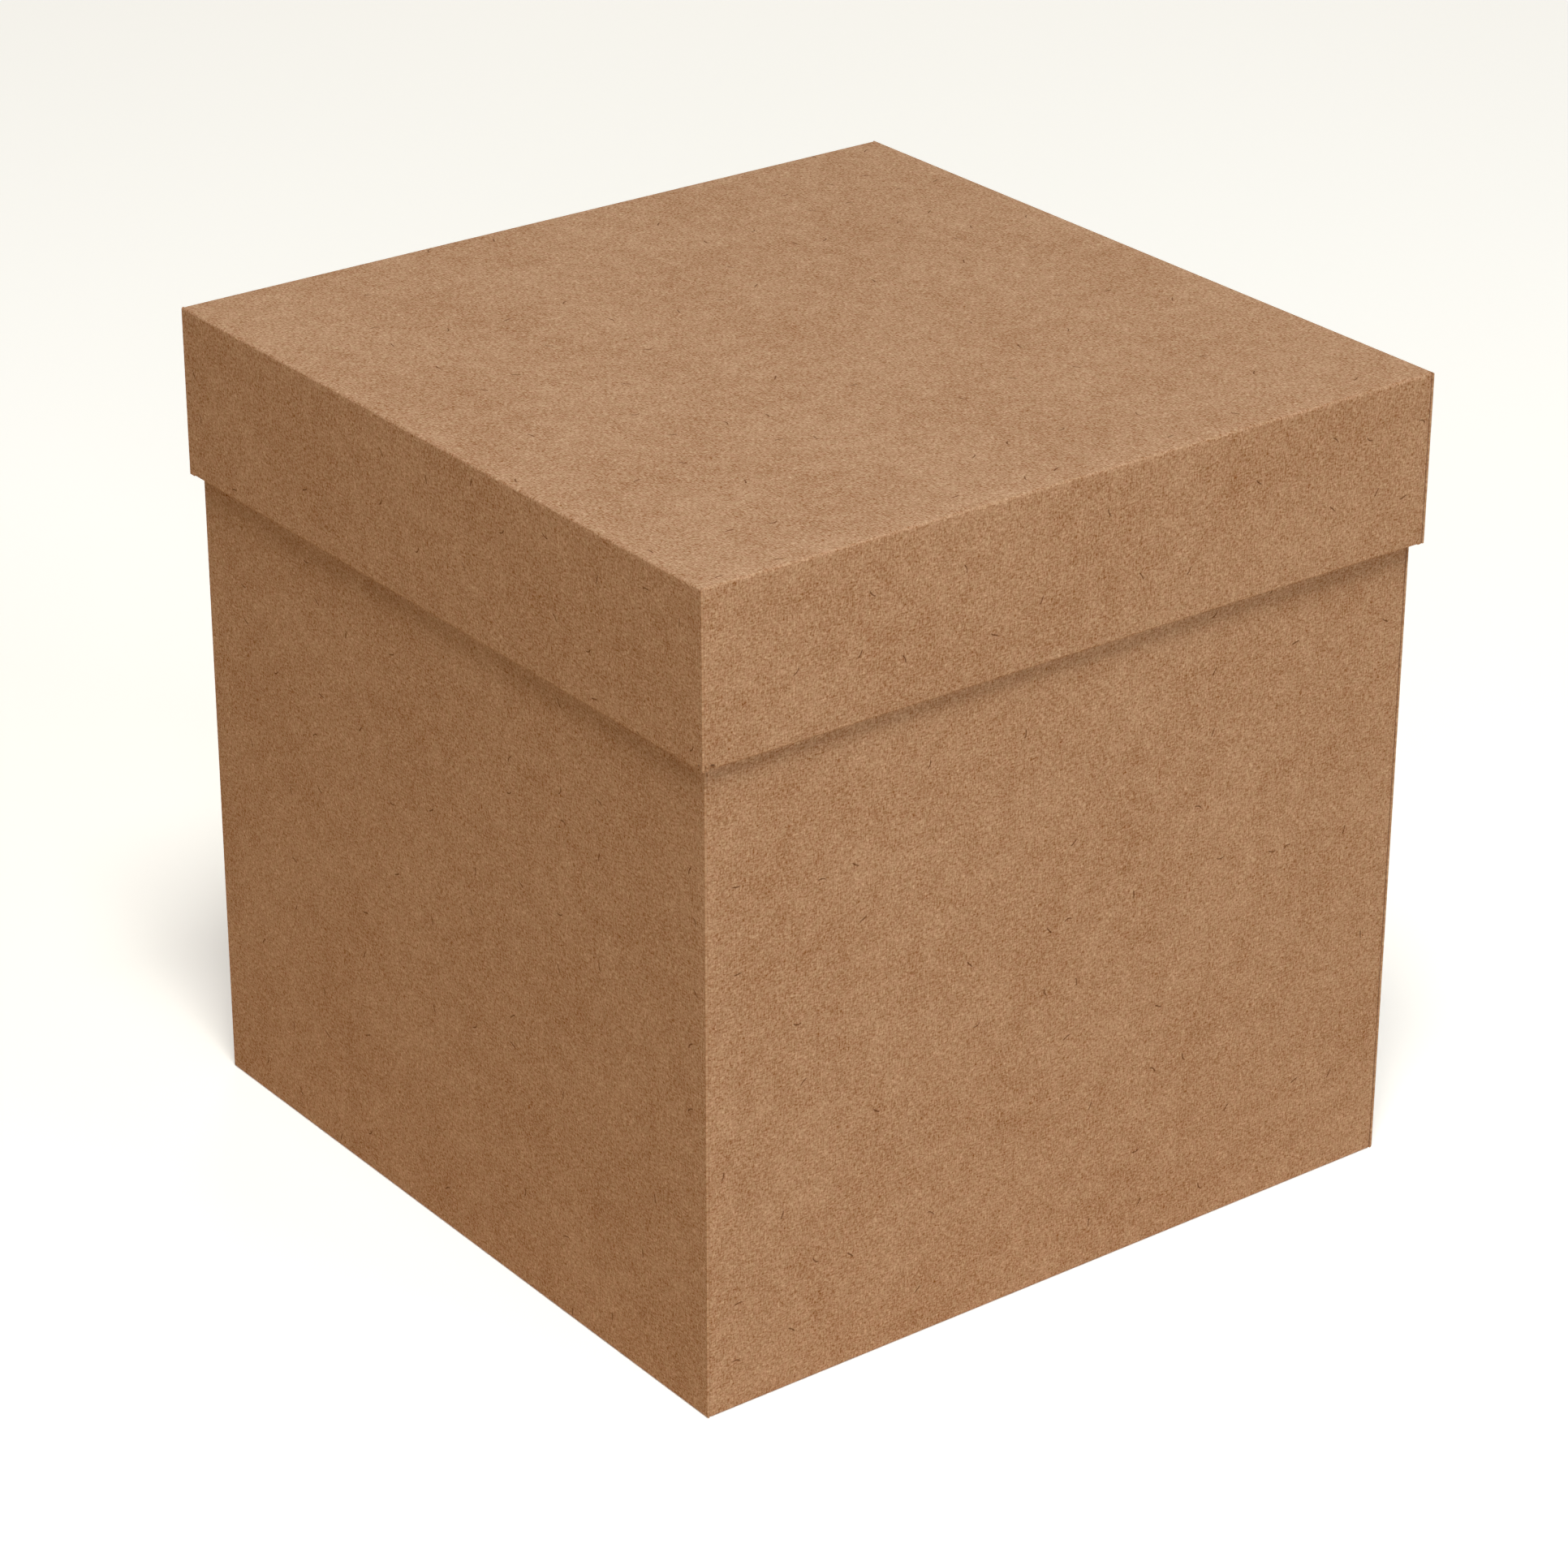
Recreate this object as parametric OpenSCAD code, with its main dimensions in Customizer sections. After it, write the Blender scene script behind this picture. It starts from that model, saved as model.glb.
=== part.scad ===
// Square kraft gift box in two parts: a deep base and a lift-off lid, shown closed.
// Each part is one sheet of thin board, cut and folded into a tray with double walls.
// The lid is the same kind of tray as the base, turned over and a little larger.
//
// All sizes are in millimetres. The box stands on z = 0, centred on x = 0 and y = 0.
// The front is at -y, and the side walls, which roll over the corner ears, are at -x and +x.

/* [Lid] */
// Outer width of the lid, from side to side
lid_width = 200; // [140:1:320]
// Outer depth of the lid, from front to back
lid_depth = 200; // [140:1:320]
// Height of the lid, from its rim to its top panel
lid_height = 40.8; // [20:0.2:90]
// Length of the lid's corner ears, inside its side walls
lid_ear = 35; // [10:1:65]

/* [Base] */
// Height of the closed box, from the floor to the top of the lid
box_height = 196.6; // [110:0.2:320]
// Length of the base's corner ears, inside its side walls
base_ear = 55; // [10:1:65]

/* [Board] */
// Thickness of the board
board = 0.5; // [0.3:0.05:0.8]
// Radius on the inside of every crease
crease_radius = 0.05; // [0.02:0.01:0.15]
// Air left between the layers of a folded wall
layer_gap = 0.05; // [0.02:0.01:0.2]
// Height at which the inner panels and the ears stop above the tray's floor
foot_gap = 0.3; // [0.1:0.1:2]

/* [Fit] */
// Air between the lid's walls and the base's walls, on each side
lid_clearance = 0.7; // [0.3:0.1:2]

/* [Corners] */
// Width of the relief slot cut at each end of a rim
relief_width = 1.8; // [1.2:0.1:3]
// Depth of the relief slot below the rim, and of the relief cut over the fold of each ear
relief_depth = 1.3; // [1:0.1:3]
// Width of the tip that stands between each slot and the end of its wall
tip_width = 0.5; // [0.3:0.1:1]
// Air between the top of each ear and the rim over it
ear_gap = 0.1; // [0.05:0.05:3]
// Air between the ends of the inner panels where they meet in a corner
corner_play = 0.2; // [0.1:0.1:1]

/* [Look] */
// Colour of the kraft board
kraft = [0.70, 0.52, 0.38]; // red, green and blue, each from 0 to 1

/* [Hidden] */
$fn = 32;

// A folded wall is three layers thick at its rim: outer panel, ear and inner panel.
crease_outer = board + crease_radius;
rim_width = 3 * board + 2 * layer_gap;
step_in = rim_width + lid_clearance;

base_width = lid_width - 2 * step_in;
base_depth = lid_depth - 2 * step_in;
// The underside of the lid's top panel rests on the base's rim.
base_height = box_height - board;

// Where the layers of a side wall lie, in from its outer face
ear_face = board + layer_gap;
inner_face = rim_width - board;
// Where the flat of a front or back panel starts, in from the corner of the tray
fold_end = ear_face + crease_outer;

// How far a cut, or a piece that joins another, reaches past their common face
eps = 0.01;

// One folded crease in section: a quarter ring round the origin, from +x to +y
module crease_section() {
    intersection() {
        difference() {
            circle(crease_outer);
            circle(crease_radius);
        }
        square(crease_outer);
    }
}

// Section of a wall's outer panel, with the crease that joins it to the floor.
// x runs inwards from the wall's outer face, and y up from the floor's underside.
module outer_section(height) {
    translate([crease_outer, crease_outer]) rotate(180) crease_section();
    translate([0, crease_outer]) square([board, height - 2 * crease_outer]);
}

// Section of the rim and the inner panel that hangs from it
module roll_section(height) {
    translate([crease_outer, height - crease_outer]) rotate(90) crease_section();
    translate([crease_outer, height - board]) square([rim_width - 2 * crease_outer, board]);
    translate([rim_width - crease_outer, height - crease_outer]) crease_section();
    translate([inner_face, board + foot_gap])
        square([board, height - crease_outer - board - foot_gap]);
}

// Stands a wall section up and runs it along +y from the origin
module run_along(length) {
    translate([0, length, 0]) rotate([90, 0, 0]) linear_extrude(length) children();
}

// The two relief slots of one rim, at "start" from each end of a wall of the given length.
// They go through the outer panel and the flat of the rim, and end at the inner crease.
module relief_slots(length, height, start) {
    reach = rim_width - crease_outer + eps;
    for (place = [start, length - start - relief_width])
        translate([-eps, place, height - relief_depth]) {
            translate([0, relief_width / 2, relief_width / 2])
                rotate([0, 90, 0]) cylinder(d = relief_width, h = reach);
            translate([0, 0, relief_width / 2])
                cube([reach, relief_width, relief_depth]);
        }
}

// The tips that stand outside the slots, at "start" from each end of a wall
module rim_tips(length, height, start) {
    for (place = [start, length - start - tip_width])
        translate([0, place, height - crease_outer - eps])
            cube([board, tip_width, crease_outer + eps]);
}

// One side wall, from its front end at the origin, with its outer face on x = 0
module side_wall(length, height) {
    inner_inset = rim_width + corner_play;
    difference() {
        union() {
            run_along(length) outer_section(height);
            translate([0, inner_inset, 0])
                run_along(length - 2 * inner_inset) roll_section(height);
            rim_tips(length, height, 0);
        }
        relief_slots(length, height, tip_width);
    }
}

// One corner ear: the vertical fold at the end of a front or back panel, the closed
// corner under it, and the flat that lies inside the side wall
module ear(length, height) {
    fold_top = height - relief_depth;
    ear_top = height - board - ear_gap;
    translate([fold_end, crease_outer, 0]) {
        translate([0, 0, crease_outer])
            rotate(180) linear_extrude(fold_top - crease_outer) crease_section();
        translate([0, 0, crease_outer]) rotate([180, 0, 90])
            rotate_extrude(angle = 90) crease_section();
    }
    translate([ear_face, crease_outer, board + foot_gap])
        cube([board, length - crease_outer, ear_top - board - foot_gap]);
}

// The front wall with its two ears, from the tray's front left corner at the origin
module front_wall(width, height, ear_length) {
    tip_end = fold_end + tip_width;
    inner_inset = tip_end + corner_play;
    translate([width, 0, 0]) rotate(90) difference() {
        union() {
            translate([0, fold_end, 0]) run_along(width - 2 * fold_end) outer_section(height);
            translate([0, inner_inset, 0])
                run_along(width - 2 * inner_inset) roll_section(height);
            rim_tips(width, height, fold_end);
        }
        relief_slots(width, height, tip_end);
    }
    ear(ear_length, height);
    translate([width, 0, 0]) mirror([1, 0, 0]) ear(ear_length, height);
}

// A whole tray, open side up, standing on z = 0 and centred on the z axis
module folded_tray(width, depth, height, ear_length) {
    translate([-width / 2 + crease_outer, -depth / 2 + crease_outer, 0])
        cube([width - 2 * crease_outer, depth - 2 * crease_outer, board]);
    for (side = [0, 1]) {
        mirror([side, 0, 0]) translate([-width / 2, -depth / 2, 0]) side_wall(depth, height);
        mirror([0, side, 0]) translate([-width / 2, -depth / 2, 0])
            front_wall(width, height, ear_length);
    }
}

module base() {
    color(kraft) folded_tray(base_width, base_depth, base_height, base_ear);
}

module lid() {
    color(kraft) translate([0, 0, box_height]) rotate([180, 0, 0])
        folded_tray(lid_width, lid_depth, lid_height, lid_ear);
}

base();
lid();
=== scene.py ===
"""A closed gift box of kraft board: a deep folded base and a shallow folded lid that lifts off.

Each tray is built as a real one is made. A flat blank is creased, folded up, rolled over its rim
and held by ears that lie between its double walls. Every point of a tray remembers its place on
the flat blank, so the mottle and the fibres of the board run on across the folds.
"""

import itertools
import logging
import math
from collections.abc import Callable, Iterator
from dataclasses import dataclass
from enum import Enum
from typing import ClassVar

import bmesh
import bpy
from bmesh.types import BMEdge, BMVert
from mathutils import Matrix, Vector


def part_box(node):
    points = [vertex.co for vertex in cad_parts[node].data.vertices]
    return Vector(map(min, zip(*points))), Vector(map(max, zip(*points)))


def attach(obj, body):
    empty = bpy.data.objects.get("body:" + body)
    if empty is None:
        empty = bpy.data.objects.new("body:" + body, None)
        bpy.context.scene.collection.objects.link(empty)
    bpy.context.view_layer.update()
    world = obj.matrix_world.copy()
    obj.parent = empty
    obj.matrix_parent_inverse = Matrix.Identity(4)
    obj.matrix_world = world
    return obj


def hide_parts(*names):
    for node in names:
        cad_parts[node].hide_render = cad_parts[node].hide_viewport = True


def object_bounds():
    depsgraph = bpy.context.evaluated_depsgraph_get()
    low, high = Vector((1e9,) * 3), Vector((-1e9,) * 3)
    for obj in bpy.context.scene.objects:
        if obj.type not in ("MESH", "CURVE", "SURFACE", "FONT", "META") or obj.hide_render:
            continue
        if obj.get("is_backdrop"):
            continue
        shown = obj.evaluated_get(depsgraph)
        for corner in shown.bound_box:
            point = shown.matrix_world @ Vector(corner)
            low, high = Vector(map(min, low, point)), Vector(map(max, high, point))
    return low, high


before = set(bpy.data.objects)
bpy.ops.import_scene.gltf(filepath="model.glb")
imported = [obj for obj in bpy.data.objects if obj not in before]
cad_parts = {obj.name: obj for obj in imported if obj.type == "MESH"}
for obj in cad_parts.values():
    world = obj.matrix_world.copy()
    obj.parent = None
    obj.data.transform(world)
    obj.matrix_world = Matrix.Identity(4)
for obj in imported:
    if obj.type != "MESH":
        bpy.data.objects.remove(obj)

MM = 0.001
UP = Vector((0.0, 0.0, 1.0))
Colour = tuple[float, float, float]
Position = tuple[float, float, float]
Place = Callable[[Vector], bool]

log = logging.getLogger("gift_box")


class Wall(Enum):
    """The way that a wall of a tray faces, with the tray standing open side up."""

    FRONT = (0.0, -1.0)
    BACK = (0.0, 1.0)
    LEFT = (-1.0, 0.0)
    RIGHT = (1.0, 0.0)

    @property
    def out(self) -> Vector:
        """Direction out of the tray, square to the wall."""
        return Vector((*self.value, 0.0))

    @property
    def along(self) -> Vector:
        """Level direction along the wall."""
        return UP.cross(self.out)

    @property
    def has_ears(self) -> bool:
        """Whether this wall turns its ends into corner ears."""
        return self in (Wall.FRONT, Wall.BACK)


@dataclass(frozen=True)
class Board:
    """The thin board of a tray, and how it folds, all in metres.

    Attributes:
        thickness: thickness of the board.
        crease_inner: radius on the inside of every crease.
        layer_gap: air between the layers of a folded wall.
        foot_gap: height at which the inner panels and ears stop above the floor panel.
    """

    thickness: float = 0.50 * MM
    crease_inner: float = 0.05 * MM
    layer_gap: float = 0.05 * MM
    foot_gap: float = 0.30 * MM

    @property
    def crease_outer(self) -> float:
        """Radius on the outside of every crease."""
        return self.thickness + self.crease_inner

    @property
    def rim_width(self) -> float:
        """Width of a rim: the outer panel, an ear and the inner panel."""
        return 3 * self.thickness + 2 * self.layer_gap

    @property
    def fold_end(self) -> float:
        """Where the flat of a front or back panel starts, in from the tray's corner."""
        return self.thickness + self.layer_gap + self.crease_outer


@dataclass(frozen=True)
class CornerCuts:
    """What is cut out of the blank at each end of a rim, with its sizes in metres.

    Attributes:
        slot_width: width of a relief slot.
        slot_depth: depth below the rim of a slot, and of the cut over an ear's fold.
        tip_width: width of the tip that stands outside a slot.
        ear_gap: air between the top of an ear and the rim over it.
        play: air between the ends of the inner panels where they meet in a corner.
        round_steps: flat sides in each quarter of a slot's round bottom.
    """

    slot_width: float = 1.80 * MM
    slot_depth: float = 1.30 * MM
    tip_width: float = 0.50 * MM
    ear_gap: float = 0.10 * MM
    play: float = 0.20 * MM
    round_steps: int = 6


@dataclass(frozen=True)
class Slack:
    """How far thin walls stand off their true planes, all in metres.

    Attributes:
        bow: how far the middle of each wall swells.
        pinch: how far the rim is drawn in at its near corner.
    """

    bow: float
    pinch: float


class Sheet:
    """The outer face of one sheet of board, folded up step by step from its floor panel."""

    # Size that the cells of the mesh come close to
    CELL = 8.0 * MM
    # Short stride at each end of a run, which keeps the shading of a crease close to it
    LEAD = 0.4 * MM
    # Rows of faces across a crease
    FOLD_STEPS = 7
    # Distance under which two places count as one
    TOLERANCE = 0.001 * MM

    def __init__(self, width: float, depth: float, board: Board) -> None:
        """Lay down the floor panel.

        Args:
            width: size of the flat floor along x.
            depth: size of the flat floor along y.
            board: the board that the sheet is cut from.
        """
        self.board = board
        self.mesh = bmesh.new()
        self.blank = self.mesh.verts.layers.float_vector.new("blank")
        self.crease = self.mesh.verts.layers.float.new("crease")
        bmesh.ops.create_grid(
            self.mesh,
            x_segments=round(width / self.CELL),
            y_segments=round(depth / self.CELL),
            size=0.5,
        )
        bmesh.ops.scale(self.mesh, vec=(width, depth, 1.0), verts=self.mesh.verts)
        for vert in self.mesh.verts:
            vert[self.blank] = vert.co

    def row(self, place: Place) -> list[BMEdge]:
        """Find the open edges of the sheet whose middle passes a test.

        Args:
            place: the test of a point.

        Returns:
            The edges that pass.
        """
        middle = {edge: (edge.verts[0].co + edge.verts[1].co) / 2 for edge in self.mesh.edges}
        return [edge for edge in self.mesh.edges if edge.is_boundary and place(middle[edge])]

    def _extend(
        self, edges: list[BMEdge], heading: Vector, crease: float
    ) -> tuple[list[BMEdge], list[BMVert]]:
        """Grow the sheet by one row of faces, which still lies on the old one.

        Args:
            edges: the row to grow from.
            heading: the step of the new row on the flat blank.
            crease: how creased the new row is, from 0 to 1.

        Returns:
            The new row of edges, and its points.
        """
        grown = bmesh.ops.extrude_edge_only(self.mesh, edges=edges)["geom"]
        verts = [item for item in grown if isinstance(item, BMVert)]
        for vert in verts:
            vert[self.blank] += heading
            vert[self.crease] = crease
        fresh = set(verts)
        row = [item for item in grown if isinstance(item, BMEdge) and set(item.verts) <= fresh]
        return row, verts

    def fold(
        self, edges: list[BMEdge], centre: Vector, axis: Vector, heading: Vector
    ) -> list[BMEdge]:
        """Turn the sheet through a quarter circle from a row of edges.

        Args:
            edges: the row where the crease starts.
            centre: a point on the axis of the crease.
            axis: the direction to turn about.
            heading: the unit direction of travel on the flat blank.

        Returns:
            The row where the crease ends.
        """
        for edge in edges:
            for vert in edge.verts:
                vert[self.crease] = 1.0
        angle = math.pi / 2 / self.FOLD_STEPS
        turn = Matrix.Rotation(angle, 3, axis)
        for _ in range(self.FOLD_STEPS):
            arc = heading * angle * self.board.crease_outer
            edges, verts = self._extend(edges, arc, 1.0)
            bmesh.ops.rotate(self.mesh, cent=centre, matrix=turn, verts=verts)
        return edges

    def _strides(self, length: float) -> Iterator[float]:
        """Split a straight run into short leads at its ends and even cells between them.

        Args:
            length: the length of the run.

        Yields:
            The length of each stride.
        """
        middle = length - 2 * self.LEAD
        if middle < self.LEAD:
            yield length
            return
        cells = math.ceil(middle / self.CELL)
        yield self.LEAD
        for _ in range(cells):
            yield middle / cells
        yield self.LEAD

    def run(
        self, edges: list[BMEdge], direction: Vector, length: float, heading: Vector
    ) -> list[BMEdge]:
        """Carry the sheet straight on from a row of edges.

        Args:
            edges: the row to start from.
            direction: the unit direction of travel in space.
            length: how far to go.
            heading: the unit direction of travel on the flat blank.

        Returns:
            The last row of edges.
        """
        for stride in self._strides(length):
            edges, verts = self._extend(edges, heading * stride, 0.0)
            bmesh.ops.translate(self.mesh, vec=direction * stride, verts=verts)
        return edges

    def score(self, point: Vector, normal: Vector, place: Place) -> None:
        """Cut a line across part of the sheet without parting it.

        Args:
            point: a point of the cutting plane.
            normal: the normal of the cutting plane.
            place: the test of a face's centre that says which faces are cut.
        """
        faces = [face for face in self.mesh.faces if place(face.calc_center_median())]
        parts = {part for face in faces for part in (*face.verts, *face.edges)}
        bmesh.ops.bisect_plane(
            self.mesh,
            geom=[*faces, *parts],
            dist=self.TOLERANCE,
            plane_co=point,
            plane_no=normal,
        )

    def punch(self, planes: list[tuple[Vector, Vector]], place: Place) -> None:
        """Cut a convex hole and take out what lies in it.

        Args:
            planes: a point and an outward normal for each side of the hole.
            place: the test of a face's centre that says which faces may be cut.
        """
        for point, normal in planes:
            self.score(point, normal, place)

        def inside(spot: Vector) -> bool:
            """Whether a point lies in the hole."""
            return place(spot) and all((spot - point).dot(normal) < 0 for point, normal in planes)

        waste = [face for face in self.mesh.faces if inside(face.calc_center_median())]
        bmesh.ops.delete(self.mesh, geom=waste, context="FACES")

    def finish(self, name: str, shift: Vector) -> bpy.types.Mesh:
        """Turn the sheet into a mesh whose UV map is the flat blank.

        Args:
            name: the name of the mesh.
            shift: where this blank lies on the web of board that it is cut from.

        Returns:
            The finished mesh, with its outer face outwards.
        """
        bmesh.ops.remove_doubles(self.mesh, verts=self.mesh.verts, dist=self.TOLERANCE)
        bmesh.ops.dissolve_degenerate(self.mesh, edges=self.mesh.edges, dist=self.TOLERANCE)
        bmesh.ops.recalc_face_normals(self.mesh, faces=self.mesh.faces)
        floor = min(self.mesh.faces, key=lambda face: face.calc_center_median().length)
        if floor.normal.z > 0:
            bmesh.ops.reverse_faces(self.mesh, faces=self.mesh.faces)
        chart = self.mesh.loops.layers.uv.new("blank")
        for face in self.mesh.faces:
            face.smooth = True
            for loop in face.loops:
                loop[chart].uv = (loop.vert[self.blank] + shift).xy
        mesh = bpy.data.meshes.new(name)
        self.mesh.to_mesh(mesh)
        self.mesh.free()
        return mesh


@dataclass
class FoldedTray:
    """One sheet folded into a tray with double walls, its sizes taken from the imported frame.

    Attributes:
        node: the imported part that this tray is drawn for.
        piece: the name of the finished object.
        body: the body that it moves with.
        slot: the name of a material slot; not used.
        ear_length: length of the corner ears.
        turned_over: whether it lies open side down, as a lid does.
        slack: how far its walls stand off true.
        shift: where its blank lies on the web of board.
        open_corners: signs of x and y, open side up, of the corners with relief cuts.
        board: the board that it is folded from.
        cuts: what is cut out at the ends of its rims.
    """

    # Angle between two faces from which their shared edge is shaded sharp
    SHARP_ANGLE: ClassVar[float] = math.radians(30)

    node: str
    piece: str
    body: str
    slot: str
    ear_length: float
    turned_over: bool
    slack: Slack
    shift: Vector
    open_corners: tuple[tuple[int, int], ...] = tuple(itertools.product((-1, 1), (-1, 1)))
    board: Board = Board()
    cuts: CornerCuts = CornerCuts()

    def __post_init__(self) -> None:
        """Take the tray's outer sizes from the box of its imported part."""
        low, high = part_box(self.node)
        size = Vector(high) - Vector(low)
        self.width, self.depth, self.height = size
        self.top = Vector(high).z

    def _reach(self, wall: Wall) -> float:
        """Distance from the tray's centre to the outer face of a wall."""
        return (self.depth if wall.has_ears else self.width) / 2

    def _half_length(self, wall: Wall) -> float:
        """Half the length of a wall, from corner to corner of the tray."""
        return (self.width if wall.has_ears else self.depth) / 2

    def _spot(self, wall: Wall, along: float, inward: float, up: float) -> Vector:
        """A point given in a wall's own measures.

        Args:
            wall: the wall.
            along: distance along it from its middle.
            inward: distance in from its outer face.
            up: height above the tray's underside.

        Returns:
            The point in the tray's frame.
        """
        return wall.along * along + wall.out * (self._reach(wall) - inward) + UP * up

    def _is_open(self, wall: Wall, side: int) -> bool:
        """Whether the corner at one end of a wall has relief cuts."""
        corner = wall.out + wall.along * side
        return (round(corner.x), round(corner.y)) in self.open_corners

    def _near(self, wall: Wall, inward: float) -> Place:
        """A test for points within a distance of a wall's outer face."""
        limit = self._reach(wall) - inward
        return lambda spot: spot.dot(wall.out) > limit

    def _outer_panel(self, sheet: Sheet, wall: Wall) -> None:
        """Fold a wall up from the floor as one layer, as long as its cut ends allow."""
        radius = self.board.crease_outer
        edge = self._reach(wall) - radius
        end = self._half_length(wall) - (self.board.fold_end if wall.has_ears else radius)
        for side in (-1, 1):
            sheet.score(wall.along * side * end, wall.along, self._near(wall, 2 * Sheet.CELL))
        foot = sheet.row(
            lambda spot: abs(spot.dot(wall.out) - edge) < Sheet.TOLERANCE
            and abs(spot.dot(wall.along)) < end
            and spot.z < Sheet.TOLERANCE
        )
        centre = self._spot(wall, 0, radius, radius)
        foot = sheet.fold(foot, centre, -wall.along, wall.out)
        sheet.run(foot, UP, self.height - 2 * radius, wall.out)
        if not wall.has_ears:
            self._flanges(sheet, wall, end)

    def _flanges(self, sheet: Sheet, wall: Wall, end: float) -> None:
        """Lengthen a side wall to the outer faces of the front and back walls."""
        at_wall = self._near(wall, self.board.crease_outer)
        for side in (-1, 1):
            ends = sheet.row(
                lambda spot: at_wall(spot)
                and abs(spot.dot(wall.along) - side * end) < Sheet.TOLERANCE
            )
            way = wall.along * side
            sheet.run(ends, way, self.board.crease_outer, way)

    def _score_rim(self, sheet: Sheet, wall: Wall, marks: list[float]) -> None:
        """Score the upper part of a wall where its rim is cut.

        Args:
            sheet: the sheet being folded.
            wall: the wall.
            marks: distances from each end of the wall.
        """
        near_wall = self._near(wall, 2 * self.board.rim_width)
        upper = self.height / 2
        for mark in marks:
            for side in (-1, 1):
                place = side * (self._half_length(wall) - mark)
                sheet.score(
                    wall.along * place,
                    wall.along,
                    lambda spot: near_wall(spot)
                    and spot.z > upper
                    and abs(spot.dot(wall.along) - place) < Sheet.CELL,
                )
        level = UP * (self.height - self.cuts.slot_depth)
        sheet.score(level, UP, lambda spot: near_wall(spot) and spot.z > upper)

    def _tips(self, sheet: Sheet, wall: Wall, start: float, inset: float) -> None:
        """Carry the outer panel up to the rim outside each slot, or as far as the roll.

        Args:
            sheet: the sheet being folded.
            wall: the wall.
            start: distance from each end of the wall to where its tip starts.
            inset: distance from each end of the wall to where its rim is rolled.
        """
        radius = self.board.crease_outer
        at_wall = self._near(wall, self.board.thickness)
        for side in (-1, 1):
            width = self.cuts.tip_width if self._is_open(wall, side) else inset - start
            middle = side * (self._half_length(wall) - start - width / 2)
            tops = sheet.row(
                lambda spot: at_wall(spot)
                and abs(spot.z - (self.height - radius)) < Sheet.TOLERANCE
                and abs(spot.dot(wall.along) - middle) < width / 2
            )
            sheet.run(tops, UP, radius, wall.out)

    def _roll(self, sheet: Sheet, wall: Wall, inset: float) -> None:
        """Roll a wall over its rim and bring it down inside as the inner panel."""
        board, height = self.board, self.height
        radius = board.crease_outer
        at_wall = self._near(wall, board.thickness)
        end = self._half_length(wall) - inset
        tops = sheet.row(
            lambda spot: at_wall(spot)
            and abs(spot.z - (height - radius)) < Sheet.TOLERANCE
            and abs(spot.dot(wall.along)) < end
        )
        outer = self._spot(wall, 0, radius, height - radius)
        inner = self._spot(wall, 0, board.rim_width - radius, height - radius)
        rim = sheet.fold(tops, outer, -wall.along, wall.out)
        rim = sheet.run(rim, -wall.out, board.rim_width - 2 * radius, wall.out)
        rim = sheet.fold(rim, inner, -wall.along, wall.out)
        drop = height - radius - board.thickness - board.foot_gap
        sheet.run(rim, -UP, drop, wall.out)

    def _ears(self, sheet: Sheet, wall: Wall) -> None:
        """Turn the ends of a front or back wall into ears inside the side walls."""
        board = self.board
        radius = board.crease_outer
        at_wall = self._near(wall, board.thickness + radius)
        end = self._half_length(wall) - board.fold_end
        shoulder = self.height - self.cuts.slot_depth
        ear_top = self.height - board.thickness - self.cuts.ear_gap
        ear_foot = board.thickness + board.foot_gap
        for side in (-1, 1):
            fold_top = shoulder if self._is_open(wall, side) else self.height
            ends = sheet.row(
                lambda spot: at_wall(spot)
                and abs(spot.dot(wall.along) - side * end) < Sheet.TOLERANCE
                and spot.z < fold_top
            )
            way = wall.along * side
            fold = sheet.fold(ends, self._spot(wall, side * end, radius, 0), UP * side, way)
            flat = [
                edge for edge in fold
                if min(vert.co.z for vert in edge.verts) > ear_foot
                and max(vert.co.z for vert in edge.verts) < shoulder + Sheet.TOLERANCE
            ]
            sheet.run(flat, -wall.out, self.ear_length - radius, way)
            if ear_top < shoulder + Sheet.TOLERANCE:
                continue
            plane = side * (end + radius)
            tops = sheet.row(
                lambda spot: abs(spot.dot(wall.along) - plane) < Sheet.TOLERANCE
                and abs(spot.z - shoulder) < Sheet.TOLERANCE
                and spot.dot(wall.out) > 0
            )
            sheet.run(tops, UP, ear_top - shoulder, wall.out)

    def _slots(self, sheet: Sheet, wall: Wall, start: float) -> None:
        """Punch the round-bottomed relief slots of a wall at its open corners.

        Args:
            sheet: the sheet being folded.
            wall: the wall.
            start: distance from each end of the wall to the slot beside it.
        """
        board, cuts = self.board, self.cuts
        radius = cuts.slot_width / 2
        on_panel = self._near(wall, board.thickness)
        on_rim = self._near(wall, board.rim_width - board.crease_outer)
        floor = self.height - cuts.slot_depth
        for side in (-1, 1):
            if not self._is_open(wall, side):
                continue
            middle = side * (self._half_length(wall) - start - radius)
            centre = self._spot(wall, middle, 0, floor + radius)

            def at_slot(spot: Vector) -> bool:
                """Whether a point of the outer panel or the flat rim is in the slot's outline."""
                own = on_panel(spot) or (on_rim(spot) and spot.z > self.height - board.thickness)
                return own and abs(spot.dot(wall.along) - middle) < radius and spot.z > floor

            planes = []
            for step in range(1, 2 * cuts.round_steps):
                angle = math.pi * step / (2 * cuts.round_steps)
                normal = wall.along * math.cos(angle) - UP * math.sin(angle)
                planes.append((centre + normal * radius, normal))
            sheet.punch(planes, at_slot)

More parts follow.
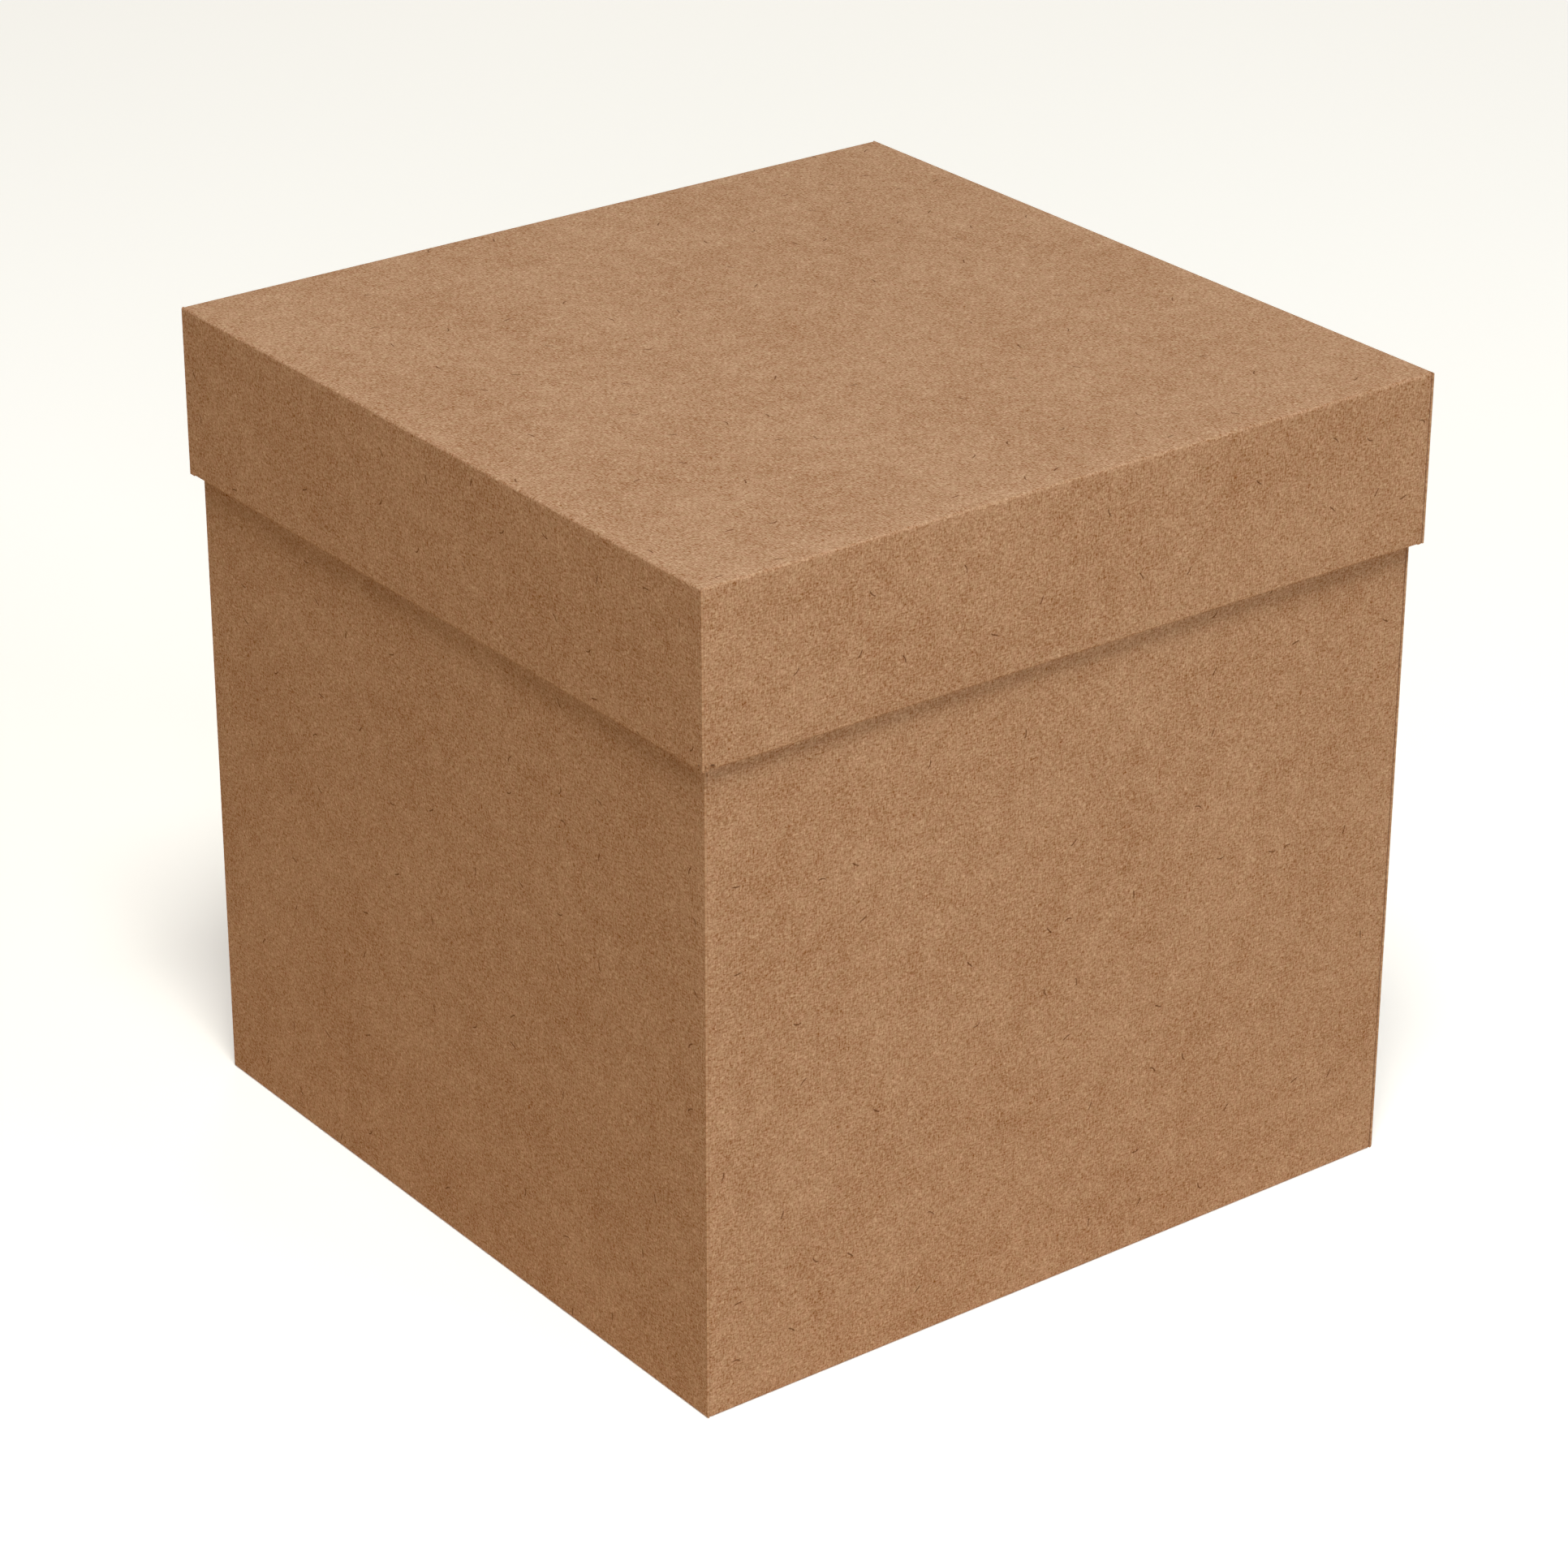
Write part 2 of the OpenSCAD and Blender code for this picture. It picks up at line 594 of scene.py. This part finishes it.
    def _fold_up(self) -> Sheet:
        """Fold the whole tray, open side up, from its floor to its inner panels."""
        board, cuts = self.board, self.cuts
        radius = board.crease_outer
        sheet = Sheet(self.width - 2 * radius, self.depth - 2 * radius, board)
        for wall in Wall:
            self._outer_panel(sheet, wall)
            tip_start = board.fold_end if wall.has_ears else 0.0
            slot_start = tip_start + cuts.tip_width
            foot = board.fold_end + cuts.tip_width if wall.has_ears else board.rim_width
            inset = foot + cuts.play
            self._score_rim(sheet, wall, [slot_start, inset, slot_start + cuts.slot_width])
            self._tips(sheet, wall, tip_start, inset)
            self._roll(sheet, wall, inset)
            if wall.has_ears:
                self._ears(sheet, wall)
            self._slots(sheet, wall, slot_start)
        return sheet

    def _settle(self, mesh: bpy.types.Mesh) -> None:
        """Let the walls stand off true, so the board looks thin and folded by hand.

        A wall swells most at its middle. The rim is drawn in most where the left wall meets the
        front one, and not at all at their far ends.

        Args:
            mesh: the tray's mesh, open side up.
        """
        for vert in mesh.vertices:
            across = vert.co.x / (self.width / 2)
            back = vert.co.y / (self.depth / 2)
            if self.turned_over:
                back = -back
            rise = vert.co.z / self.height
            swell = 4 * rise * (1 - rise) * self.slack.bow
            draw = rise * self.slack.pinch / 2
            push_x = across ** 3 * swell * (1 - back ** 2)
            push_y = back ** 3 * swell * (1 - across ** 2)
            if across < 0:
                push_x += draw * (1 - back) * across ** 4
            if back < 0:
                push_y += draw * (1 - across) * back ** 4
            vert.co.x += push_x
            vert.co.y += -push_y if self.turned_over else push_y

    def _thicken(self, obj: bpy.types.Object) -> None:
        """Give the folded face its board thickness and shade its cut edges sharp."""
        solidify = obj.modifiers.new("board", "SOLIDIFY")
        solidify.thickness = self.board.thickness
        solidify.offset = -1.0
        solidify.use_even_offset = False
        solidify.material_offset = 1
        solidify.material_offset_rim = 2
        whole = obj.evaluated_get(bpy.context.evaluated_depsgraph_get())
        mesh = bpy.data.meshes.new_from_object(whole)
        obj.modifiers.clear()
        obj.data = mesh
        mesh.name = self.piece
        mesh.set_sharp_from_angle(angle=self.SHARP_ANGLE)

    def build(self, finishes: list[bpy.types.Material]) -> bpy.types.Object:
        """Make the finished tray in its place.

        Args:
            finishes: materials of the outer face, the inner face and the cut edges.

        Returns:
            The object, parented to the empty of its body.
        """
        mesh = self._fold_up().finish(self.piece, self.shift)
        self._settle(mesh)
        if self.turned_over:
            mesh.transform(Matrix.Translation(UP * self.top) @ Matrix.Rotation(math.pi, 4, "X"))
        for finish in finishes:
            mesh.materials.append(finish)
        obj = bpy.data.objects.new(self.piece, mesh)
        bpy.context.scene.collection.objects.link(obj)
        self._thicken(obj)
        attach(obj, self.body)
        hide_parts(self.node)
        log.info("%s: %d faces, on body %s", self.piece, len(obj.data.polygons), self.body)
        return obj


@dataclass(frozen=True)
class Noise:
    """One scale of noise in the board.

    Attributes:
        size: size of its largest features, in metres.
        detail: how many finer scales lie over them.
        roughness: how much each finer scale counts for.
    """

    size: float
    detail: float
    roughness: float


class Wiring:
    """A hand for laying out a node tree."""

    def __init__(self, tree: bpy.types.NodeTree) -> None:
        """Start work on a tree."""
        self.tree = tree

    def node(self, kind: str, **settings: object) -> bpy.types.Node:
        """Add a node and set its properties.

        Args:
            kind: the node's type.
            **settings: properties of the node.

        Returns:
            The node.
        """
        node = self.tree.nodes.new(kind)
        for name, value in settings.items():
            setattr(node, name, value)
        return node

    def feed(self, socket: bpy.types.NodeSocket, source: object) -> None:
        """Link a socket to another one, or set its value."""
        if isinstance(source, bpy.types.NodeSocket):
            self.tree.links.new(source, socket)
        else:
            socket.default_value = source

    def maths(self, operation: str, *sources: object) -> bpy.types.NodeSocket:
        """Work out one value from up to three others."""
        node = self.node("ShaderNodeMath", operation=operation)
        for socket, source in zip(node.inputs, sources):
            self.feed(socket, source)
        return node.outputs[0]

    def vector(self, operation: str, first: object, second: object) -> bpy.types.NodeSocket:
        """Work out one vector from two others."""
        node = self.node("ShaderNodeVectorMath", operation=operation)
        self.feed(node.inputs[0], first)
        self.feed(node.inputs[1], second)
        return node.outputs["Vector"]

    def ramp(self, value: object, low: object, high: object) -> bpy.types.NodeSocket:
        """Spread a value smoothly from 0 at low to 1 at high."""
        node = self.node("ShaderNodeMapRange", interpolation_type="SMOOTHSTEP")
        for name, source in (("Value", value), ("From Min", low), ("From Max", high)):
            self.feed(node.inputs[name], source)
        return node.outputs["Result"]

    def blend(
        self, factor: object, first: object, second: object, kind: str = "MIX"
    ) -> bpy.types.NodeSocket:
        """Blend two colours, reaching past them where the factor leaves 0 to 1."""
        node = self.node("ShaderNodeMix", data_type="RGBA", blend_type=kind, clamp_factor=False)
        self.feed(node.inputs["Factor"], factor)
        self.feed(node.inputs["A"], first)
        self.feed(node.inputs["B"], second)
        return node.outputs["Result"]

    def noise(self, place: object, kind: Noise) -> bpy.types.NodeSocket:
        """Noise about zero, of one kind, at a place on the blank."""
        node = self.node("ShaderNodeTexNoise", noise_dimensions="2D")
        self.feed(node.inputs["Vector"], place)
        node.inputs["Scale"].default_value = 1 / kind.size
        node.inputs["Detail"].default_value = kind.detail
        node.inputs["Roughness"].default_value = kind.roughness
        return self.maths("MULTIPLY_ADD", node.outputs["Fac"], 2.0, -1.0)

    def group(
        self, tree: bpy.types.NodeTree, place: object, values: dict[str, float]
    ) -> bpy.types.Node:
        """Add a node group.

        Args:
            tree: the group.
            place: the place on the blank that it works at.
            values: the value of each of its other inputs, by name.

        Returns:
            The node.
        """
        node = self.node("ShaderNodeGroup", node_tree=tree)
        self.feed(node.inputs["Place"], place)
        for name, value in values.items():
            self.feed(node.inputs[name], value)
        return node


class SharedGroups:
    """The node groups that every finish of the board is mixed from."""

    RELIEF = Noise(size=0.45 * MM, detail=1.0, roughness=0.7)
    GRAIN = Noise(size=0.4 * MM, detail=1.0, roughness=0.6)
    HUE = Noise(size=2.2 * MM, detail=2.0, roughness=0.8)
    FLOCKS = Noise(size=5.0 * MM, detail=3.0, roughness=0.7)
    CLOUDS = Noise(size=30.0 * MM, detail=2.0, roughness=0.6)
    # Step to another part of the noise, so that two kinds of it don't line up
    AWAY = (0.71, 0.37, 0.0)
    # How much slower the grain changes along its lie than across it
    STRETCH = 0.35
    # How far the fibres stray from the middles of their cells
    SCATTER = 0.8
    # Share of a fibre's half-width that keeps its full strength
    SOLID_WIDTH = 0.3
    # Share of a fibre's half-length that keeps its full strength
    SOLID_LENGTH = 0.6

    def __init__(self) -> None:
        """Build each group once."""
        self.mottle = self._mottle()
        self.fibres = self._fibres()
        log.info("node groups: %s, %s", self.mottle.name, self.fibres.name)

    @staticmethod
    def _open(
        name: str, inputs: tuple[str, ...], outputs: tuple[str, ...]
    ) -> tuple[Wiring, dict[str, bpy.types.NodeSocket], bpy.types.Node]:
        """Start a group that takes a place on the blank and some values.

        Args:
            name: the group's name.
            inputs: name of each value that the group takes.
            outputs: name of each value that the group puts out.

        Returns:
            Its wiring, its input sockets by name, and its output node.
        """
        tree = bpy.data.node_groups.new(name, "ShaderNodeTree")
        tree.interface.new_socket("Place", in_out="INPUT", socket_type="NodeSocketVector")
        for way, labels in (("INPUT", inputs), ("OUTPUT", outputs)):
            for label in labels:
                tree.interface.new_socket(label, in_out=way, socket_type="NodeSocketFloat")
        wiring = Wiring(tree)
        given = wiring.node("NodeGroupInput")
        result = wiring.node("NodeGroupOutput")
        return wiring, {socket.name: socket for socket in given.outputs}, result

    def _mottle(self) -> bpy.types.NodeTree:
        """Group for the cloudy, grainy look of kraft pulp: tone, hue and relief about zero."""
        wiring, given, result = self._open(
            "kraft mottle", ("Grain", "Flocks", "Clouds"), ("Tone", "Hue", "Relief")
        )
        place = given["Place"]
        away = wiring.vector("ADD", place, self.AWAY)
        lengthwise = wiring.vector("MULTIPLY", place, (1.0, self.STRETCH, 1.0))
        crosswise = wiring.vector("MULTIPLY", away, (self.STRETCH, 1.0, 1.0))
        relief = wiring.noise(place, self.RELIEF)
        grain = relief
        for lie in (lengthwise, crosswise):
            grain = wiring.maths("ADD", grain, wiring.noise(lie, self.GRAIN))
        tone = wiring.maths("MULTIPLY", grain, given["Grain"])
        for label, kind in (("Flocks", self.FLOCKS), ("Clouds", self.CLOUDS)):
            tone = wiring.maths("MULTIPLY_ADD", wiring.noise(place, kind), given[label], tone)
        wiring.feed(result.inputs["Tone"], tone)
        wiring.feed(result.inputs["Hue"], wiring.noise(away, self.HUE))
        wiring.feed(result.inputs["Relief"], relief)
        return wiring.tree

    def _fibres(self) -> bpy.types.NodeTree:
        """Group for loose fibres: one bent stroke, turned at random, in some cells of a net."""
        wiring, given, result = self._open(
            "loose fibres", ("Cell", "Length", "Width", "Bend", "Share"), ("Mask",)
        )
        place = given["Place"]
        net = wiring.node("ShaderNodeTexVoronoi", voronoi_dimensions="2D", feature="F1")
        net.inputs["Randomness"].default_value = self.SCATTER
        wiring.feed(net.inputs["Vector"], place)
        wiring.feed(net.inputs["Scale"], wiring.maths("DIVIDE", 1.0, given["Cell"]))
        chance = wiring.node("ShaderNodeSeparateColor")
        wiring.feed(chance.inputs[0], net.outputs["Color"])
        reach = wiring.vector("SUBTRACT", place, net.outputs["Position"])
        turned = wiring.node("ShaderNodeVectorRotate", rotation_type="Z_AXIS")
        wiring.feed(turned.inputs["Vector"], reach)
        wiring.feed(turned.inputs["Angle"], wiring.maths("MULTIPLY", chance.outputs[0], 2 * math.pi))
        local = wiring.node("ShaderNodeSeparateXYZ")
        wiring.feed(local.inputs[0], turned.outputs[0])
        along, aside = local.outputs[0], local.outputs[1]
        half = wiring.maths("MULTIPLY", given["Length"], 0.5)
        portion = wiring.maths("DIVIDE", along, half)
        lean = wiring.maths("SUBTRACT", chance.outputs[2], 0.5)
        sag = wiring.maths("MULTIPLY", wiring.maths("MULTIPLY", portion, portion), half)
        sag = wiring.maths("MULTIPLY", sag, wiring.maths("MULTIPLY", lean, given["Bend"]))
        off = wiring.maths("ABSOLUTE", wiring.maths("SUBTRACT", aside, sag))
        solid = wiring.maths("MULTIPLY", given["Width"], self.SOLID_WIDTH)
        across = wiring.ramp(off, given["Width"], solid)
        ends = wiring.ramp(wiring.maths("ABSOLUTE", portion), 1.0, self.SOLID_LENGTH)
        chosen = wiring.maths("LESS_THAN", chance.outputs[1], given["Share"])
        mask = wiring.maths("MULTIPLY", wiring.maths("MULTIPLY", across, ends), chosen)
        wiring.feed(result.inputs["Mask"], mask)
        return wiring.tree


@dataclass(frozen=True)
class Strokes:
    """One kind of loose fibre in the board.

    Attributes:
        cell: spacing of the fibres, in metres.
        length: length of a fibre, in metres.
        width: half-width of a fibre, in metres.
        bend: how far a fibre may bend.
        share: how many cells hold one, from 0 to 1.
        colour: what the fibre multiplies the board's colour by.
        strength: how strongly it shows, from 0 to 1.
    """

    cell: float
    length: float
    width: float
    bend: float
    share: float
    colour: Colour
    strength: float

    @property
    def shape(self) -> dict[str, float]:
        """The inputs of the fibres' group that give this kind its shape, by name."""
        return {
            "Cell": self.cell,
            "Length": self.length,
            "Width": self.width,
            "Bend": self.bend,
            "Share": self.share,
        }


@dataclass(frozen=True)
class KraftFinish:
    """A finish of kraft board: its colour, its mottle and its loose fibres.

    Attributes:
        name: the material's name.
        colour: its mean colour.
        grain: strength of the finest mottle.
        flocks: strength of the mottle a few millimetres across.
        clouds: strength of the broadest mottle.
        hue: how strongly its hue changes from place to place.
        crease_paling: how much paler its creases are made, from 0 to 1.
        roughness: roughness of the surface.
        specular: strength of its sheen.
        relief: height of its bumps, in metres.
        strokes: the kinds of loose fibre in it, from the lowest to the topmost.
    """

    # How far each channel moves with the tone, and with the hue
    TONE_SWING: ClassVar[Colour] = (0.68, 1.0, 1.30)
    HUE_SWING: ClassVar[Colour] = (0.25, -1.0, -0.35)
    # What the board's colour is multiplied by where a crease is at full strength, which makes the
    # crease paler
    CREASE_PALE_TINT: ClassVar[Colour] = (1.10, 1.12, 1.15)

    name: str
    colour: Colour
    grain: float
    flocks: float
    clouds: float
    hue: float
    crease_paling: float
    roughness: float
    specular: float
    relief: float
    strokes: tuple[Strokes, ...] = ()

    def _palest(self) -> tuple[float, float, float, float]:
        """The board's colour at the pale end of the tone's swing."""
        return (*(base * (1 + way) for base, way in zip(self.colour, self.TONE_SWING)), 1.0)

    def make(self, groups: SharedGroups) -> bpy.types.Material:
        """Build the material.

        Args:
            groups: the shared node groups.

        Returns:
            The material.
        """
        material = bpy.data.materials.new(self.name)
        material.use_nodes = True
        wiring = Wiring(material.node_tree)
        shader = material.node_tree.nodes["Principled BSDF"]
        blank = wiring.node("ShaderNodeUVMap", uv_map="blank").outputs["UV"]
        strengths = {"Grain": self.grain, "Flocks": self.flocks, "Clouds": self.clouds}
        mottle = wiring.group(groups.mottle, blank, strengths)
        # At the dark end of the swing blue falls below zero, which no socket can hold. So the
        # blend starts at the plain colour, and a negative tone reaches past it.
        colour = wiring.blend(mottle.outputs["Tone"], (*self.colour, 1.0), self._palest())
        factor = wiring.maths("MULTIPLY_ADD", mottle.outputs["Hue"], self.hue / 2, 0.5)
        tint = wiring.blend(
            factor,
            (*(1 - way for way in self.HUE_SWING), 1.0),
            (*(1 + way for way in self.HUE_SWING), 1.0),
        )
        colour = wiring.blend(1.0, colour, tint, "MULTIPLY")
        for stroke in self.strokes:
            fibre = wiring.group(groups.fibres, blank, stroke.shape)
            mask = wiring.maths("MULTIPLY", fibre.outputs["Mask"], stroke.strength)
            dyed = wiring.blend(1.0, colour, (*stroke.colour, 1.0), "MULTIPLY")
            colour = wiring.blend(mask, colour, dyed)
        # Creases are made paler by a set tint, as strongly as the crease attribute says
        crease = wiring.node("ShaderNodeAttribute", attribute_name="crease").outputs["Fac"]
        paled_share = wiring.maths("MULTIPLY", crease, self.crease_paling)
        pale = wiring.blend(1.0, colour, (*self.CREASE_PALE_TINT, 1.0), "MULTIPLY")
        colour = wiring.blend(paled_share, colour, pale)
        wiring.feed(shader.inputs["Base Color"], colour)
        shader.inputs["Roughness"].default_value = self.roughness
        shader.inputs["Specular IOR Level"].default_value = self.specular
        bump = wiring.node("ShaderNodeBump")
        bump.inputs["Distance"].default_value = self.relief
        bump.inputs["Strength"].default_value = 1.0
        wiring.feed(bump.inputs["Height"], mottle.outputs["Relief"])
        wiring.feed(shader.inputs["Normal"], bump.outputs["Normal"])
        return material


@dataclass(frozen=True)
class SoftLight:
    """A large square studio light.

    Attributes:
        name: what it is for.
        azimuth: its bearing in degrees, 0 in front and -90 at the left.
        elevation: its height above the horizon in degrees.
        power: its power in watts.
        colour: its colour.
    """

    name: str
    azimuth: float
    elevation: float
    power: float
    colour: Colour


def bearing(azimuth: float, elevation: float) -> Vector:
    """The direction towards a bearing.

    Args:
        azimuth: degrees round from the front, -90 at the left.
        elevation: degrees above the horizon.

    Returns:
        The unit vector.
    """
    turn, lift = math.radians(azimuth), math.radians(elevation)
    level = Vector((math.sin(turn), -math.cos(turn), 0.0))
    return level * math.cos(lift) + UP * math.sin(lift)


@dataclass(frozen=True)
class Studio:
    """The plain studio: a pale floor, soft lights and the camera.

    Attributes:
        light_distance: distance of each light from the middle of the box, in metres.
        light_size: length of each light's side, in metres.
        floor_size: length of the floor's side, in metres.
        floor_white: colour of the floor as the camera sees it.
        floor_glow: how strongly the floor shines by itself, for the camera only.
        floor_bounce: colour of the floor as it lights the box.
        floor_roughness: roughness of the floor.
        floor_specular: strength of the floor's sheen.
        room_white: colour of the room beyond the floor.
        camera_place: where the camera stands, in metres.
        camera_azimuth: its bearing in degrees, 0 in front and -90 at the left.
        camera_elevation: its height above the horizon in degrees.
        camera_roll: how far it leans, in degrees.
        camera_reach: how far it sees, in metres.
        lens: its focal length in millimetres.
        sensor: width of its sensor in millimetres.
        lights: the soft lights.
    """

    light_distance: float = 3.0
    light_size: float = 1.0
    floor_size: float = 12.0
    floor_white: Colour = (0.86, 0.90, 0.98)
    floor_glow: float = 0.26
    floor_bounce: Colour = (0.82, 0.65, 0.42)
    floor_roughness: float = 0.9
    floor_specular: float = 0.1
    room_white: Colour = (0.96, 0.96, 0.96)
    camera_place: Position = (-0.62618, -0.82289, 0.58620)
    camera_azimuth: float = -37.111
    camera_elevation: float = 25.746
    camera_roll: float = 0.166
    camera_reach: float = 100.0
    lens: float = 113.0
    sensor: float = 36.0
    lights: tuple[SoftLight, ...] = (
        SoftLight("key", -32.0, 67.0, 88.0, (1.0, 0.93, 0.77)),
        SoftLight("camera side", -37.0, 20.0, 17.0, (1.0, 0.91, 0.82)),
        SoftLight("right side", 20.0, 26.0, 14.5, (0.68, 0.90, 1.0)),
        SoftLight("back", 143.0, 12.0, 23.0, (1.0, 0.85, 0.65)),
    )

    def set_camera(self) -> None:
        """Stand the camera where the picture is taken from."""
        back = bearing(self.camera_azimuth, self.camera_elevation)
        right = UP.cross(back).normalized()
        axes = Matrix((right, back.cross(right), back)).transposed().to_4x4()
        data = bpy.data.cameras.new("camera")
        data.sensor_width = self.sensor
        data.lens = self.lens
        data.clip_end = self.camera_reach
        camera = bpy.data.objects.new("camera", data)
        roll = Matrix.Rotation(math.radians(self.camera_roll), 4, "Z")
        camera.matrix_world = Matrix.Translation(self.camera_place) @ axes @ roll
        bpy.context.scene.collection.objects.link(camera)
        bpy.context.scene.camera = camera

    def lay_floor(self) -> None:
        """Lay a bright white floor whose bounce is as warm as that of a wooden table."""
        mesh = bpy.data.meshes.new("floor")
        shape = bmesh.new()
        bmesh.ops.create_grid(shape, x_segments=1, y_segments=1, size=self.floor_size / 2)
        shape.to_mesh(mesh)
        shape.free()
        floor = bpy.data.objects.new("floor", mesh)
        bpy.context.scene.collection.objects.link(floor)
        material = bpy.data.materials.new("floor")
        material.use_nodes = True
        wiring = Wiring(material.node_tree)
        shader = material.node_tree.nodes["Principled BSDF"]
        seen = wiring.node("ShaderNodeLightPath").outputs["Is Camera Ray"]
        shade = wiring.blend(seen, (*self.floor_bounce, 1.0), (*self.floor_white, 1.0))
        wiring.feed(shader.inputs["Base Color"], shade)
        shader.inputs["Emission Color"].default_value = (1.0, 1.0, 1.0, 1.0)
        glow = wiring.maths("MULTIPLY", seen, self.floor_glow)
        wiring.feed(shader.inputs["Emission Strength"], glow)
        shader.inputs["Roughness"].default_value = self.floor_roughness
        shader.inputs["Specular IOR Level"].default_value = self.floor_specular
        mesh.materials.append(material)
        floor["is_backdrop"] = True

    def hang_lights(self) -> None:
        """Hang the soft lights, each facing the middle of the box."""
        low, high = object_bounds()
        middle = (Vector(low) + Vector(high)) / 2
        for light in self.lights:
            data = bpy.data.lights.new(light.name, "AREA")
            data.shape = "SQUARE"
            data.size = self.light_size
            data.energy = light.power
            data.color = light.colour
            lamp = bpy.data.objects.new(light.name, data)
            way = bearing(light.azimuth, light.elevation)
            turn = way.to_track_quat("Z", "Y").to_matrix().to_4x4()
            lamp.matrix_world = Matrix.Translation(middle + way * self.light_distance) @ turn
            bpy.context.scene.collection.objects.link(lamp)

    def light_room(self) -> None:
        """Show a white room beyond the floor, which gives no light of its own."""
        world = bpy.data.worlds.new("room")
        world.use_nodes = True
        wiring = Wiring(world.node_tree)
        room = world.node_tree.nodes["Background"]
        seen = wiring.node("ShaderNodeLightPath").outputs["Is Camera Ray"]
        room.inputs["Color"].default_value = (*self.room_white, 1.0)
        wiring.feed(room.inputs["Strength"], seen)
        bpy.context.scene.world = world

    def set_up(self) -> None:
        """Make the whole studio."""
        bpy.context.scene.view_settings.view_transform = "Standard"
        self.lay_floor()
        self.hang_lights()
        self.light_room()
        log.info("studio: %d lights", len(self.lights))


DARK_FLECKS = Strokes(
    cell=16 * MM, length=2.5 * MM, width=0.24 * MM, bend=0.9, share=0.5,
    colour=(0.42, 0.32, 0.26), strength=1.0,
)
DARK_FIBRES = Strokes(
    cell=3.0 * MM, length=2.4 * MM, width=0.16 * MM, bend=0.7, share=0.6,
    colour=(0.78, 0.70, 0.62), strength=0.6,
)
PALE_FIBRES = Strokes(
    cell=2.3 * MM, length=2.2 * MM, width=0.16 * MM, bend=0.6, share=0.7,
    colour=(1.16, 1.22, 1.28), strength=0.6,
)

KRAFT_FACE = KraftFinish(
    name="kraft_face",
    colour=(0.408, 0.249, 0.163),
    grain=0.50,
    flocks=0.28,
    clouds=0.14,
    hue=0.06,
    crease_paling=0.3,
    roughness=0.95,
    specular=0.06,
    relief=0.005 * MM,
    strokes=(PALE_FIBRES, DARK_FIBRES, DARK_FLECKS),
)
KRAFT_REVERSE = KraftFinish(
    name="kraft_reverse",
    colour=(0.43, 0.27, 0.184),
    grain=0.50,
    flocks=0.30,
    clouds=0.14,
    hue=0.06,
    crease_paling=0.0,
    roughness=1.0,
    specular=0.05,
    relief=0.02 * MM,
    strokes=(PALE_FIBRES, DARK_FIBRES),
)
KRAFT_CUT = KraftFinish(
    name="kraft_cut_edge",
    colour=(0.45, 0.28, 0.184),
    grain=0.40,
    flocks=0.10,
    clouds=0.0,
    hue=0.03,
    crease_paling=0.0,
    roughness=1.0,
    specular=0.05,
    relief=0.02 * MM,
)

BASE = FoldedTray(
    node="base",
    piece="folded_base",
    body="base",
    slot="base_board",
    ear_length=55 * MM,
    turned_over=False,
    slack=Slack(bow=0.20 * MM, pinch=0.0),
    shift=Vector((0.0, 0.0, 0.0)),
)
LID = FoldedTray(
    node="lid",
    piece="folded_lid",
    body="lid",
    slot="lid_board",
    ear_length=35 * MM,
    turned_over=True,
    slack=Slack(bow=0.10 * MM, pinch=0.60 * MM),
    shift=Vector((1.3, 0.9, 0.0)),
    open_corners=((-1, 1),),
    cuts=CornerCuts(ear_gap=0.80 * MM),
)


def main() -> None:
    """Build the camera, the studio and the two trays in order."""
    logging.basicConfig(level=logging.INFO, format="%(name)s: %(message)s")
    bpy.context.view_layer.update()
    studio = Studio()
    studio.set_camera()
    studio.set_up()
    groups = SharedGroups()
    finishes = [finish.make(groups) for finish in (KRAFT_FACE, KRAFT_REVERSE, KRAFT_CUT)]
    for tray in (BASE, LID):
        tray.build(finishes)


if __name__ == "__main__":
    main()
